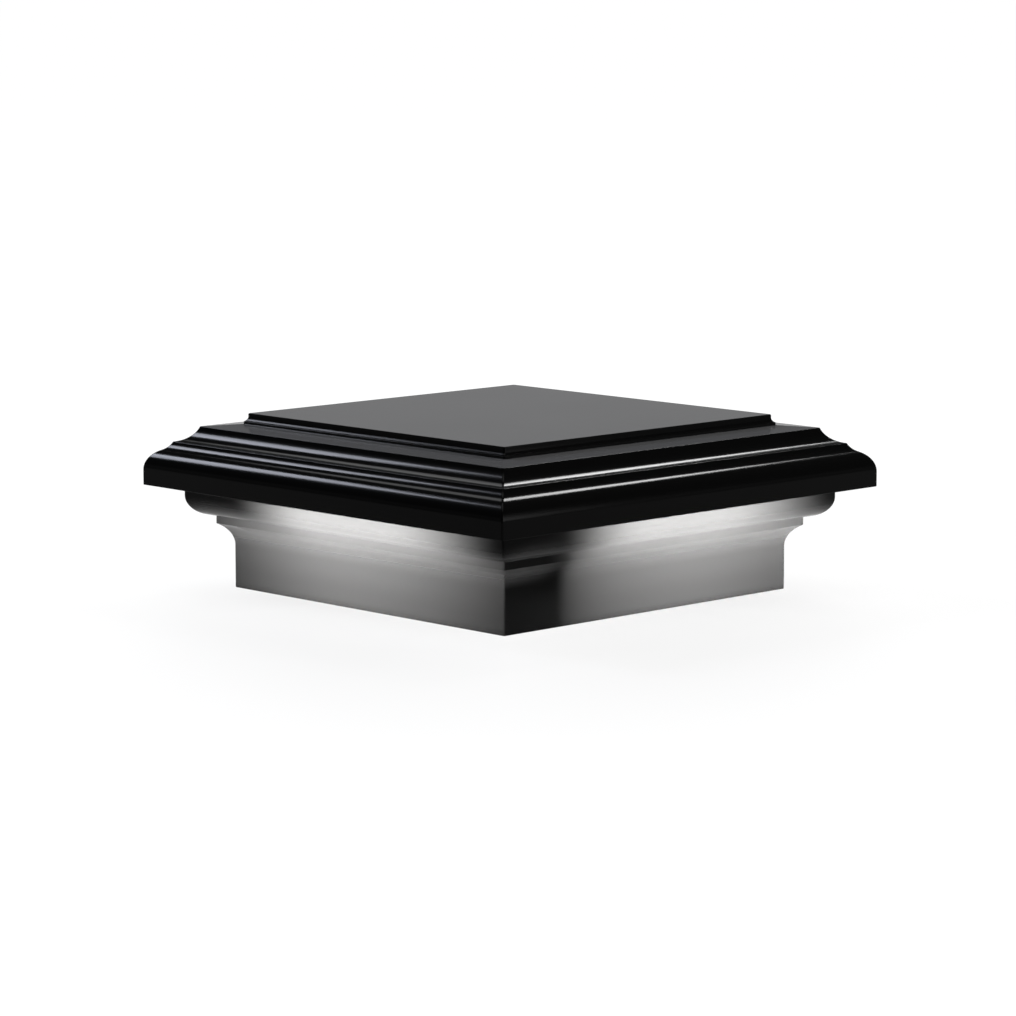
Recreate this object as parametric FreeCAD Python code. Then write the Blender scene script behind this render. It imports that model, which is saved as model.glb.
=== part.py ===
import FreeCAD, Part
import math
import os

# Downlight cap for a square deck post, in millimetres.
# Z is up. The origin is the centre of the skirt's bottom edge, and the four sides face +X, -X, +Y and -Y.
# A cast skirt slips over the post. A stepped lid overhangs it and carries four light bars under its rim.
# There is one bar to a side. Seen from outside, each lies to the right of its side's middle.
# The lid, its tray and the electronics lift off the skirt together.

Vec = FreeCAD.Vector
UP = Vec(0, 0, 1)

# ---------------------------------------------------------------- post and skirt
post_width = 101.6          # a 4 in square railing post or post sleeve
post_gap = 0.6              # slack round the post, each side
skirt_wall = 2.4
skirt_straight = 12.0       # upright lower part of the skirt
skirt_cove_run = 3.65       # hollow curve above it, outwards
skirt_cove_rise = 5.9       # and upwards
skirt_cove_radius = 6.6
band_height = 2.4           # narrow upright band above the hollow
ledge_run = 0.75            # flat between the band and the quarter round
ovolo_radius = 5.4          # the quarter round under the lid
collar_lip = 1.5            # upright edge above the quarter round
deck_thickness = 2.5        # inner plate that rests on the post's end
deck_drop = 7.6             # from the neck's top edge down to that plate
window_width = 62.0         # square opening in that plate
window_corner = 9.0
post_hole_spacing = 80.0    # four holes for screws into the post's end
post_hole_diameter = 5.0
neck_setback = 3.6          # from the collar's outer face to the neck
neck_wall = 2.4
seal_thickness = 0.8        # foam ring between the neck and the tray
seal_inset = 0.3

# ---------------------------------------------------------------- lid
lid_overhang = 8.05         # beyond the collar, each side
rim_gap = 1.4               # height of the rim's edge over the collar
rim_upright = 4.2
roundover_radius = 6.0
shoulder_run = 4.15         # from the rim's face to the foot of the first riser
riser_run = 1.75
riser_rise = 2.1
riser_radius = 2.3
lid_cove_run = 5.3          # the large hollow above the riser
lid_cove_rise = 4.26
lid_cove_radius = 6.5
tread_run = 7.95            # sloping flat above the hollow
tread_rise = 0.65
panel_cove_radius = 1.5     # small hollow at the foot of the top panel
panel_upright = 1.55
lid_wall = 2.4
lid_boss_diameter = 6.0
corner_boss_inset = 7.15    # corner screws, in from the rim's outer face
inner_boss_inset = 17.6     # inner screws, in from the neck's inner face

# ---------------------------------------------------------------- light tray and light bars
tray_gap = 0.25             # round the tray's edge
tray_thickness = 2.4
sealant_size = 1.2          # bead in the corner between the tray and the rim
bar_corner_gap = 9.5        # from a corner screw to the end of the board on its left
slot_length = 80.0
slot_width = 4.0
slot_setback = 1.25         # from the lid's inner face to the slot
lens_gap = 0.1
lens_flange = 0.5
lens_flange_thickness = 1.0
lens_proud = 0.4            # below the tray
board_overlap = 4.0         # each end of the board, past the slot
board_width = 6.8
board_thickness = 1.0
board_setback = 2.35        # from the lid's inner face to the board's edge
rail_height = 1.2
chip_count = 9
chip_end_gap = 3.2          # from the slot's end to the middle of the last chip
chip_length = 3.5
chip_width = 2.8
chip_height = 0.8
chip_setback = 0.3          # from the board's outer edge
board_screw_end = 6.0       # from the board's end
board_screw_inset = 1.6     # from the board's inner edge
board_screw_depth = 2.4     # thread below the board
locating_rib_gap = 0.4      # inside the neck
locating_rib_wall = 1.8
locating_rib_drop = 2.2

# ---------------------------------------------------------------- spring clips
clip_width = 12.0
clip_side_gap = 3.0         # from the clip to the end of the rib beside it
clip_sheet = 0.5
clip_foot = 8.0
clip_offset = 3.1           # from the neck's inner face to the bend
clip_gap = 0.1              # between the clip's crown and the neck
clip_crown_drop = 3.6       # below the foot
clip_tip_gap = 1.5          # above the inner plate
clip_tip_setback = 1.3
clip_screw_inset = 3.4      # from the foot's inner end
clip_boss_diameter = 6.0
clip_boss_height = 3.0

# ---------------------------------------------------------------- screws
screw_slack = 0.05          # round a thread in its hole
through_slack = 0.2         # round a shank that passes through
m3_diameter = 3.0
m3_head = 5.6
m3_head_height = 1.65
m3_length = 8.0
clip_screw_depth = 4.3      # thread above the clip
m2_diameter = 2.0
m2_head = 3.6
m2_head_height = 1.2
head_round = 0.4            # rounding of a head's rim, as a share of its height
drive_width = 0.16          # cross recess, as shares of the head's diameter
drive_span = 0.55
drive_depth = 0.5           # and of its height

# ---------------------------------------------------------------- lead gland
lead_bore = 5.0
gland_thread = 8.0
gland_hex = 12.0            # across the flats
gland_hex_height = 2.4
gland_thread_rise = 4.5     # above the tray
gland_neck_drop = 4.2       # stem below the hexagon, inside the cap
gland_nut_hex = 11.0
gland_nut_height = 2.2
gland_cap_diameter = 11.0
gland_cap_mouth = 5.6
gland_cap_height = 5.0
gland_cap_roof = 1.0
gland_insert_wall = 1.0

# ---------------------------------------------------------------- driver board
driver_length = 56.0
driver_width = 30.0
driver_thickness = 1.6
driver_gland_gap = 7.5      # from the gland's nut to the board
driver_screw_inset = 3.0
driver_screw_depth = 1.8    # thread below the standoff
standoff_height = 4.0
standoff_diameter = 5.0
# What stands on the board: length, width and height of each body. The row starts at the board's right-hand
# end with the resistors, and a shift is across the row, from the board's middle line.
inductor_body = (11.0, 11.0, 5.2)
inductor_gap = 2.4          # from the resistors
inductor_shift = 0.5
inductor_corner = 2.5
capacitor_base = (8.4, 8.4, 1.0)
capacitor_gap = 3.8         # from the inductor
capacitor_shift = 0.5
capacitor_diameter = 8.0
capacitor_height = 5.2      # above its base
regulator_body = (5.0, 4.0, 1.5)
regulator_gap = 2.8         # from the capacitor
regulator_shift = -3.0
rectifier_body = (7.0, 6.0, 2.4)
rectifier_gap = 2.3         # from the capacitor
rectifier_shift = 4.5
terminal_body = (10.0, 7.0, 5.6)
terminal_edge_gap = 0.4     # from the board's near edge
terminal_mouth = 3.2
terminal_mouth_height = 2.0
terminal_mouth_depth = 2.5
terminal_well_depth = 1.4   # of the hole down to each clamping screw
socket_body = (7.4, 4.6, 4.4)
resistor_body = (3.2, 1.6, 0.6)
resistor_inset = 9.5        # from the board's end
resistor_count = 6
resistor_pitch = 2.6

# ---------------------------------------------------------------- wires
wire_diameter = 1.3
wire_pitch = 1.6            # from the red wire to the black one
wire_inset = 0.8            # red wire, from the board's inner edge
wire_lap = 2.6              # how much of it lies on the board
wire_corner = 2.0           # where it turns, beyond the board's end
feed_rise = 1.6             # the feed wires leave the socket this far above the driver board
feed_run = 5.4              # level run of a feed wire before it slopes down, and after

# ---------------------------------------------------------------- places worked out from the sizes
skirt_half = post_width / 2 + post_gap + skirt_wall
pocket_half = skirt_half - skirt_wall
band_half = skirt_half + skirt_cove_run
ovolo_foot_half = band_half + ledge_run
collar_half = ovolo_foot_half + ovolo_radius
neck_half = collar_half - neck_setback
neck_inner = neck_half - neck_wall
lid_half = collar_half + lid_overhang
lid_inner = lid_half - lid_wall

band_foot_z = skirt_straight + skirt_cove_rise
ledge_z = band_foot_z + band_height
ovolo_top_z = ledge_z + ovolo_radius
collar_top_z = ovolo_top_z + collar_lip
rim_foot_z = collar_top_z + rim_gap
tray_top_z = rim_foot_z + rim_upright
tray_foot_z = tray_top_z - tray_thickness
neck_top_z = tray_foot_z - seal_thickness
deck_top_z = neck_top_z - deck_drop
post_depth = deck_top_z - deck_thickness

roundover_half = lid_half - roundover_radius
riser_foot_half = lid_half - shoulder_run
riser_foot_z = tray_top_z + math.sqrt(roundover_radius ** 2 - (riser_foot_half - roundover_half) ** 2)
riser_top_half = riser_foot_half - riser_run
riser_top_z = riser_foot_z + riser_rise
lid_cove_top_half = riser_top_half - lid_cove_run
lid_cove_top_z = riser_top_z + lid_cove_rise
tread_inner_half = lid_cove_top_half - tread_run
tread_inner_z = lid_cove_top_z + tread_rise
panel_half = tread_inner_half - panel_cove_radius
panel_foot_z = tread_inner_z + panel_cove_radius
lid_top_z = panel_foot_z + panel_upright
ceiling_z = lid_top_z - lid_wall

corner_boss_half = lid_half - corner_boss_inset
inner_boss_half = neck_inner - inner_boss_inset
tray_half = lid_inner - tray_gap
slot_outer = lid_inner - slot_setback
slot_inner = slot_outer - slot_width
rebate_lip = lens_flange + lens_gap
board_length = slot_length + 2 * board_overlap
board_end = corner_boss_half - bar_corner_gap
bar_middle = board_end - board_length / 2
board_outer = lid_inner - board_setback
board_inner = board_outer - board_width
board_screw_half = board_inner + board_screw_inset
rail_top_z = tray_top_z + rail_height
board_top_z = rail_top_z + board_thickness
driver_near_y = gland_nut_hex / 2 + driver_gland_gap
driver_middle_y = driver_near_y + driver_width / 2
driver_far_y = driver_near_y + driver_width
driver_foot_z = tray_top_z + standoff_height
driver_top_z = driver_foot_z + driver_thickness
resistor_x = driver_length / 2 - resistor_inset
inductor_x = resistor_x - resistor_body[0] / 2 - inductor_gap - inductor_body[0] / 2
capacitor_x = inductor_x - inductor_body[0] / 2 - capacitor_gap - capacitor_base[0] / 2
capacitor_end_x = capacitor_x - capacitor_base[0] / 2
regulator_x = capacitor_end_x - regulator_gap - regulator_body[0] / 2
rectifier_x = capacitor_end_x - rectifier_gap - rectifier_body[0] / 2
gland_hex_foot_z = tray_foot_z - gland_hex_height
clip_bend = neck_inner - clip_offset
clip_foot_z = tray_foot_z - clip_sheet
clip_screw_half = clip_bend - clip_foot + clip_screw_inset
margin = 1.0                # how far a cutting shape runs past what it cuts


# ---------------------------------------------------------------- tools for shapes
def box(x0, x1, y0, y1, z0, z1):
    return Part.makeBox(x1 - x0, y1 - y0, z1 - z0, Vec(x0, y0, z0))


def square(half, z0, z1):
    return box(-half, half, -half, half, z0, z1)


def cylinder(x, y, z0, z1, diameter):
    return Part.makeCylinder(diameter / 2, z1 - z0, Vec(x, y, z0))


def hexagon(z0, z1, across_flats):
    reach = across_flats / 2 / math.cos(math.pi / 6)
    turns = [math.pi / 3 * i for i in range(7)]
    rim = Part.makePolygon([Vec(reach * math.cos(t), reach * math.sin(t), z0) for t in turns])
    return Part.Face(rim).extrude(UP * (z1 - z0))


def rounded_square(half, corner, z0, z1):
    upright = square(half, z0, z1)
    edges = [e for e in upright.Edges if abs(e.tangentAt(e.FirstParameter).z) > 0.5]
    return upright.makeFillet(corner, edges)


def arc_centre(start, end, radius):
    """Centre of the short arc from start to end. With a positive radius it bulges to the right."""
    (ax, az), (bx, bz) = start, end
    chord = math.hypot(bx - ax, bz - az)
    reach = math.sqrt(radius ** 2 - chord ** 2 / 4) * math.copysign(1, radius)
    return (ax + bx) / 2 - (bz - az) / chord * reach, (az + bz) / 2 + (bx - ax) / chord * reach


def outline_edge(start, step):
    """One edge of a moulding's outline: a line to (half, z), or an arc to (half, z, radius)."""
    a, b = Vec(start[0], 0, start[1]), Vec(step[0], 0, step[1])
    if len(step) == 2:
        return Part.makeLine(a, b)
    radius = step[2]
    cx, cz = arc_centre(start[:2], step[:2], radius)
    middle = (a + b) / 2 - Vec(cx, 0, cz)
    crown = Vec(cx, 0, cz) + middle / middle.Length * abs(radius)
    return Part.Arc(a, crown, b).toShape()


def moulding(outline):
    """A square solid whose four sides all have this outline, given upwards as half widths and heights."""
    side = [outline_edge(a, b) for a, b in zip(outline, outline[1:])]
    other = [edge.mirror(Vec(), Vec(1, 0, 0)) for edge in side]
    (foot, foot_z), (top, top_z) = outline[0][:2], outline[-1][:2]
    closing = [
        Part.makeLine(Vec(-foot, 0, foot_z), Vec(foot, 0, foot_z)),
        Part.makeLine(Vec(-top, 0, top_z), Vec(top, 0, top_z)),
    ]
    face = Part.Face(Part.Wire(Part.__sortEdges__(side + other + closing)))
    reach = 2 * max(point[0] for point in outline)
    along_y = face.extrude(Vec(0, 2 * reach, 0))
    along_y.translate(Vec(0, -reach, 0))
    along_x = along_y.copy()
    along_x.rotate(Vec(), UP, 90)
    return along_x.common(along_y).removeSplitter()


def ribbon(points, thickness, width):
    """A bent strip of sheet across Y. Its outer face follows the points, and the sheet is on their right."""
    ways = [Vec(b[0] - a[0], 0, b[1] - a[1]).normalize() for a, b in zip(points, points[1:])]
    far_side = []
    for i, point in enumerate(points):
        before, after = ways[max(i - 1, 0)], ways[min(i, len(ways) - 1)]
        across = Vec(before.z + after.z, 0, -before.x - after.x).normalize()
        depth = thickness / across.dot(Vec(after.z, 0, -after.x))
        far_side.append(Vec(point[0], 0, point[1]) + across * depth)
    near_side = [Vec(x, 0, z) for x, z in points]
    face = Part.Face(Part.makePolygon(near_side + far_side[::-1] + near_side[:1]))
    face.translate(Vec(0, -width / 2, 0))
    return face.extrude(Vec(0, width, 0))


def tube(points, diameter):
    """A round wire along straight runs joined by tangent arcs as large as the runs allow."""
    points = [Vec(*p) for p in points]
    edges = []
    start = points[0]
    for before, corner, after in zip(points, points[1:], points[2:]):
        back, on = before - corner, after - corner
        setback = 0.45 * min(back.Length, on.Length)
        back.normalize()
        on.normalize()
        half_angle = back.getAngle(on) / 2
        radius = setback * math.tan(half_angle)
        inward = (back + on).normalize()
        crown = corner + inward * (radius / math.sin(half_angle) - radius)
        first, last = corner + back * setback, corner + on * setback
        edges += [Part.makeLine(start, first), Part.Arc(first, crown, last).toShape()]
        start = last
    edges.append(Part.makeLine(start, points[-1]))
    path = Part.Wire(edges)
    ring = Part.Wire([Part.makeCircle(diameter / 2, points[0], points[1] - points[0])])
    return path.makePipeShell([ring], True, False)


def placed(shape, x, y, z):
    moved = shape.copy()
    moved.translate(Vec(x, y, z))
    return moved


def turned(shape, quarter):
    """The same piece on another side of the square, by quarter turns."""
    moved = shape.copy()
    moved.rotate(Vec(), UP, 90 * quarter)
    return moved


def all_round(shape):
    return [turned(shape, quarter) for quarter in range(4)]


def pan_screw(diameter, length, head, head_height):
    """A pan-head screw that points up, with its head below the origin and a cross recess in the head."""
    shank = cylinder(0, 0, 0, length, diameter)
    cap = cylinder(0, 0, -head_height, 0, head)
    rim = [e for e in cap.Edges if e.Closed and abs(e.BoundBox.ZMin + head_height) < 1e-6]
    cap = cap.makeFillet(head_height * head_round, rim)
    arm, reach = head * drive_width / 2, head * drive_span / 2
    floor = -head_height + head_height * drive_depth
    recess = box(-arm, arm, -reach, reach, -head_height - margin, floor)
    return shank.fuse(cap).removeSplitter().cut(recess.fuse(turned(recess, 1)))


def upside_down(shape):
    moved = shape.copy()
    moved.rotate(Vec(), Vec(1, 0, 0), 180)
    return moved


# ---------------------------------------------------------------- pieces of the skirt
def skirt_casting():
    """The casting that fits over the post, with its inner plate and the neck that carries the head."""
    body = moulding([
        (skirt_half, 0),
        (skirt_half, skirt_straight),
        (band_half, band_foot_z, -skirt_cove_radius),
        (band_half, ledge_z),
        (ovolo_foot_half, ledge_z),
        (collar_half, ovolo_top_z, ovolo_radius),
        (collar_half, collar_top_z),
        (neck_half, collar_top_z),
        (neck_half, neck_top_z),
    ])
    pocket = square(pocket_half, -margin, post_depth)
    chamber = square(neck_inner, deck_top_z, neck_top_z + margin)
    window = rounded_square(window_width / 2, window_corner, post_depth - margin, deck_top_z + margin)
    body = body.cut(pocket).cut(chamber).cut(window)
    hole_at = post_hole_spacing / 2
    hole = cylinder(hole_at, hole_at, post_depth - margin, deck_top_z + margin, post_hole_diameter)
    for piece in all_round(hole):
        body = body.cut(piece)
    return body


def neck_seal():
    """Foam ring on the neck's top edge, squeezed by the tray."""
    ring = square(neck_half - seal_inset, neck_top_z, tray_foot_z)
    return ring.cut(square(neck_inner + seal_inset, neck_top_z - margin, tray_foot_z + margin))


# ---------------------------------------------------------------- the lid
def lid_outline():
    return [
        (lid_half, rim_foot_z),
        (lid_half, tray_top_z),
        (riser_foot_half, riser_foot_z, roundover_radius),
        (riser_top_half, riser_top_z, -riser_radius),
        (lid_cove_top_half, lid_cove_top_z, -lid_cove_radius),
        (tread_inner_half, tread_inner_z),
        (panel_half, panel_foot_z, -panel_cove_radius),
        (panel_half, lid_top_z),
    ]


def lid_hollow():
    """The space inside the lid, one wall in from its outline."""
    cove_foot, cove_top = (riser_top_half, riser_top_z), (lid_cove_top_half, lid_cove_top_z)
    cove_x, cove_z = arc_centre(cove_foot, cove_top, -lid_cove_radius)
    inner_radius = lid_cove_radius + lid_wall
    low_half = riser_top_half - lid_wall
    low_z = cove_z - math.sqrt(inner_radius ** 2 - (cove_x - low_half) ** 2)
    high_z = lid_cove_top_z - lid_wall
    high_half = cove_x - math.sqrt(inner_radius ** 2 - (cove_z - high_z) ** 2)
    return moulding([
        (lid_inner, rim_foot_z - margin),
        (lid_inner, tray_top_z),
        (roundover_half, tray_top_z + roundover_radius - lid_wall, roundover_radius - lid_wall),
        (low_half, low_z),
        (high_half, high_z, -inner_radius),
        (panel_half - lid_wall, tread_inner_z - lid_wall),
        (panel_half - lid_wall, ceiling_z),
    ])


def tray_screw_places():
    return [(sign_x * half, sign_y * half)
            for half in (corner_boss_half, inner_boss_half)
            for sign_x in (-1, 1)
            for sign_y in (-1, 1)]


def lid_casting():
    """The stepped lid: a shell with bosses for the tray's screws."""
    solid = moulding(lid_outline())
    hollow = lid_hollow()
    shell = solid.cut(hollow)
    thread_top = tray_foot_z + m3_length + screw_slack
    for x, y in tray_screw_places():
        boss = cylinder(x, y, tray_top_z, ceiling_z, lid_boss_diameter).common(hollow)
        shell = shell.fuse(boss)
    shell = shell.removeSplitter()
    for x, y in tray_screw_places():
        shell = shell.cut(cylinder(x, y, tray_top_z - margin, thread_top, m3_diameter + 2 * screw_slack))
    return shell


# ---------------------------------------------------------------- the tray and its light bars
# The pieces of a light bar are drawn on the side that faces -Y, where the bar runs along X, and then turned.
def bar_box(length, inner, outer, z0, z1):
    return box(bar_middle - length / 2, bar_middle + length / 2, -outer, -inner, z0, z1)


def board_screw_places():
    reach = board_length / 2 - board_screw_end
    return [(bar_middle + sign * reach, -board_screw_half) for sign in (-1, 1)]


def light_tray():
    """The black plate that closes the lid from below and holds everything electrical."""
    tray = square(tray_half, tray_foot_z, tray_top_z)
    rib_outer = neck_inner - locating_rib_gap
    rib_inner = rib_outer - locating_rib_wall
    rib_foot = tray_foot_z - locating_rib_drop
    rib = square(rib_outer, rib_foot, tray_foot_z)
    rib = rib.cut(square(rib_inner, rib_foot - margin, tray_foot_z + margin))
    half_gap = clip_width / 2 + clip_side_gap
    gap = box(-half_gap, half_gap, -rib_outer - margin, -rib_inner + margin, rib_foot - margin, tray_foot_z)
    for piece in all_round(gap):
        rib = rib.cut(piece)
    tray = tray.fuse(rib)
    rail = bar_box(board_length, board_inner, slot_inner - rebate_lip, tray_top_z, rail_top_z)
    clip_boss = cylinder(0, -clip_screw_half, tray_top_z, tray_top_z + clip_boss_height, clip_boss_diameter)
    for piece in all_round(rail) + all_round(clip_boss):
        tray = tray.fuse(piece)
    tray = tray.removeSplitter()

    slot = bar_box(slot_length, slot_inner, slot_outer, tray_foot_z - margin, tray_top_z + margin)
    rebate = bar_box(slot_length + 2 * rebate_lip, slot_inner - rebate_lip, slot_outer + rebate_lip,
                     tray_top_z - lens_flange_thickness, tray_top_z + margin)
    cuts = all_round(slot) + all_round(rebate)
    m2_thread_hole = m2_diameter + 2 * screw_slack
    m3_thread_hole = m3_diameter + 2 * screw_slack
    hole_foot = rail_top_z - board_screw_depth - screw_slack
    for x, y in board_screw_places():
        cuts += all_round(cylinder(x, y, hole_foot, rail_top_z + margin, m2_thread_hole))
    cuts += all_round(cylinder(0, -clip_screw_half, tray_foot_z - margin,
                               tray_foot_z + clip_screw_depth + screw_slack, m3_thread_hole))
    cuts += [cylinder(x, y, tray_foot_z - margin, tray_top_z + margin, m3_diameter + 2 * through_slack)
             for x, y in tray_screw_places()]
    cuts.append(cylinder(0, 0, tray_foot_z - margin, tray_top_z + margin, gland_thread + 2 * screw_slack))
    hole_foot = tray_top_z - driver_screw_depth - screw_slack
    cuts += [cylinder(x, y, hole_foot, tray_top_z + margin, m3_thread_hole) for x, y in standoff_places()]
    for piece in cuts:
        tray = tray.cut(piece)
    return tray


def sealant_bead():
    """Bead of sealant in the corner between the tray's edge and the rim, from below."""
    foot = tray_foot_z - sealant_size
    outer = square(lid_inner, foot, tray_foot_z)
    inner = moulding([(lid_inner, foot), (lid_inner - sealant_size, tray_foot_z)])
    return outer.cut(inner)


def lens_bar():
    """Frosted bar that fills a slot from above and hangs on its flange."""
    inner, outer = slot_inner + lens_gap, slot_outer - lens_gap
    flange_z = tray_top_z - lens_flange_thickness
    stem = bar_box(slot_length - 2 * lens_gap, inner, outer, tray_foot_z - lens_proud, flange_z)
    lip = lens_flange
    flange = bar_box(slot_length + 2 * lip, inner - lip, outer + lip, flange_z, tray_top_z)
    return stem.fuse(flange).removeSplitter()


def light_board():
    """Narrow aluminium-cored board that lies on its rail over the slot."""
    board = bar_box(board_length, board_inner, board_outer, rail_top_z, board_top_z)
    for x, y in board_screw_places():
        hole = cylinder(x, y, rail_top_z - margin, board_top_z + margin, m2_diameter + 2 * through_slack)
        board = board.cut(hole)
    return board


def light_chips():
    """The chips on the underside of a board, evenly along the slot."""
    outer = board_outer - chip_setback
    reach = slot_length / 2 - chip_end_gap
    chips = []
    for i in range(chip_count):
        x = bar_middle - reach + 2 * reach * i / (chip_count - 1)
        chips.append(box(x - chip_length / 2, x + chip_length / 2, -outer, -outer + chip_width,
                         rail_top_z - chip_height, rail_top_z))
    return Part.makeCompound(chips)


def board_screws():
    screw = upside_down(pan_screw(m2_diameter, board_thickness + board_screw_depth, m2_head, m2_head_height))
    one_side = [placed(screw, x, y, board_top_z) for x, y in board_screw_places()]
    return Part.makeCompound([piece for screws in one_side for piece in all_round(screws)])


def tray_screws():
    screw = pan_screw(m3_diameter, m3_length, m3_head, m3_head_height)
    return Part.makeCompound([placed(screw, x, y, tray_foot_z) for x, y in tray_screw_places()])


# ---------------------------------------------------------------- spring clips
def spring_clip():
    """Leaf that hangs from the tray and presses on the inside of the neck, on the side that faces +X."""
    crown = neck_inner - clip_gap
    leaf = ribbon([
        (clip_bend - clip_foot, tray_foot_z),
        (clip_bend, tray_foot_z),
        (crown, clip_foot_z - clip_crown_drop),
        (crown - clip_tip_setback, deck_top_z + clip_tip_gap),
    ], clip_sheet, clip_width)
    hole = m3_diameter + 2 * through_slack
    return leaf.cut(cylinder(clip_screw_half, 0, clip_foot_z - margin, tray_foot_z + margin, hole))


def clip_screws():
    screw = pan_screw(m3_diameter, clip_sheet + clip_screw_depth, m3_head, m3_head_height)
    return Part.makeCompound(all_round(placed(screw, clip_screw_half, 0, clip_foot_z)))


# ---------------------------------------------------------------- lead gland
def gland_body():
    """Threaded gland through the middle of the tray, for the low-voltage lead."""
    foot, top = gland_hex_foot_z - gland_neck_drop, tray_top_z + gland_thread_rise
    body = hexagon(gland_hex_foot_z, tray_foot_z, gland_hex)
    body = body.fuse(cylinder(0, 0, foot, top, gland_thread)).removeSplitter()
    body = body.cut(cylinder(0, 0, foot - margin, top + margin, lead_bore + 2 * through_slack))
    seat = cylinder(0, 0, foot - margin, gland_hex_foot_z, lead_bore + 2 * gland_insert_wall)
    return body.cut(seat)


def gland_nut():
    top = tray_top_z + gland_nut_height
    nut = hexagon(tray_top_z, top, gland_nut_hex)
    return nut.cut(cylinder(0, 0, tray_top_z - margin, top + margin, gland_thread + 2 * screw_slack))


def gland_cap():
    """Cap that squeezes the rubber insert round the lead."""
    top, foot = gland_hex_foot_z, gland_hex_foot_z - gland_cap_height
    cap = cylinder(0, 0, foot, top, gland_cap_diameter)
    rim = [e for e in cap.Edges if e.Closed and abs(e.BoundBox.ZMin - foot) < 1e-6]
    cap = cap.makeFillet(gland_cap_roof, rim)
    cap = cap.cut(cylinder(0, 0, foot - margin, top + margin, gland_cap_mouth))
    return cap.cut(cylinder(0, 0, top - gland_neck_drop, top + margin, gland_thread + 2 * screw_slack))


def gland_insert():
    """Rubber ring that grips the lead."""
    top, foot = gland_hex_foot_z, gland_hex_foot_z - gland_neck_drop
    ring = cylinder(0, 0, foot, top, lead_bore + 2 * gland_insert_wall - 2 * screw_slack)
    return ring.cut(cylinder(0, 0, foot - margin, top + margin, lead_bore))


# ---------------------------------------------------------------- driver board
def standoff_places():
    x = driver_length / 2 - driver_screw_inset
    near, far = driver_near_y + driver_screw_inset, driver_far_y - driver_screw_inset
    return [(sign * x, y) for sign in (-1, 1) for y in (near, far)]


def on_driver(body, place):
    """A block on the driver board, its place given from the board's middle."""
    length, width, height = body
    block = box(-length / 2, length / 2, -width / 2, width / 2, 0, height)
    return placed(block, place[0], driver_middle_y + place[1], driver_top_z)


def driver_board():
    half_length = driver_length / 2
    board = box(-half_length, half_length, driver_near_y, driver_far_y, driver_foot_z, driver_top_z)
    for x, y in standoff_places():
        board = board.cut(cylinder(x, y, driver_foot_z - margin, driver_top_z + margin,
                                   m3_diameter + 2 * through_slack))
    return board


def standoffs():
    posts = []
    for x, y in standoff_places():
        post = cylinder(x, y, tray_top_z, driver_foot_z, standoff_diameter)
        posts.append(post.cut(cylinder(x, y, tray_top_z - margin, driver_foot_z + margin,
                                       m3_diameter + 2 * through_slack)))
    return Part.makeCompound(posts)


def driver_screws():
    length = driver_thickness + standoff_height + driver_screw_depth
    screw = upside_down(pan_screw(m3_diameter, length, m3_head, m3_head_height))
    return Part.makeCompound([placed(screw, x, y, driver_top_z) for x, y in standoff_places()])


def inductor():
    block = on_driver(inductor_body, (inductor_x, inductor_shift))
    upright = [e for e in block.Edges if abs(e.tangentAt(e.FirstParameter).z) > 0.5]
    return block.makeFillet(inductor_corner, upright)


def capacitor():
    base = on_driver(capacitor_base, (capacitor_x, capacitor_shift))
    y = driver_middle_y + capacitor_shift
    can_foot = driver_top_z + capacitor_base[2]
    return base.fuse(cylinder(capacitor_x, y, can_foot, can_foot + capacitor_height, capacitor_diameter))


def input_terminal():
    """Two-way screw terminal for the lead, at the board's edge nearest the gland."""
    length, width, height = terminal_body
    front = driver_near_y + terminal_edge_gap
    middle, top = front + width / 2, driver_top_z + height
    block = on_driver(terminal_body, (0, middle - driver_middle_y))
    for x in (-length / 4, length / 4):
        mouth = Part.makeCylinder(terminal_mouth / 2, margin + terminal_mouth_depth,
                                  Vec(x, front - margin, driver_top_z + terminal_mouth_height), Vec(0, 1, 0))
        well = cylinder(x, middle, top - terminal_well_depth, top + margin, terminal_mouth)
        block = block.cut(mouth).cut(well)
    return block


def output_socket():
    """Two-way plug and socket for the light bars, at the far edge, in line with the far bar's middle."""
    return on_driver(socket_body, (-bar_middle, (driver_width - socket_body[1]) / 2))


def resistors():
    first = -resistor_pitch * (resistor_count - 1) / 2
    return Part.makeCompound([on_driver(resistor_body, (resistor_x, first + resistor_pitch * i))
                              for i in range(resistor_count)])


# ---------------------------------------------------------------- wires
def jumper(shift):
    """A wire from the end of one board to the start of the next, round the corner between -Y and +X."""
    lane = board_inner + wire_inset + shift
    z = board_top_z + wire_diameter / 2
    turn = board_end + wire_corner + shift * math.tan(math.pi / 8)
    return tube([
        (board_end - wire_lap, -lane, z),
        (turn, -lane, z),
        (lane, -turn, z),
        (lane, board_end - board_length + wire_lap, z),
    ], wire_diameter)


def feed_wire(shift):
    """A wire from the driver's output socket to the board on the side that faces +Y."""
    x = -bar_middle + shift - wire_pitch / 2
    high = driver_top_z + feed_rise
    low = board_top_z + wire_diameter / 2
    return tube([
        (x, driver_far_y, high),
        (x, driver_far_y + feed_run, high),
        (x, board_inner - feed_run, low),
        (x, board_inner + wire_lap, low),
    ], wire_diameter)


def wires(shift):
    """Three jumpers and one feed, all of one colour."""
    return Part.makeCompound([turned(jumper(shift), quarter) for quarter in (0, 2, 3)] + [feed_wire(shift)])


# ---------------------------------------------------------------- the whole light
SIDES = ("front", "right", "back", "left")


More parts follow.
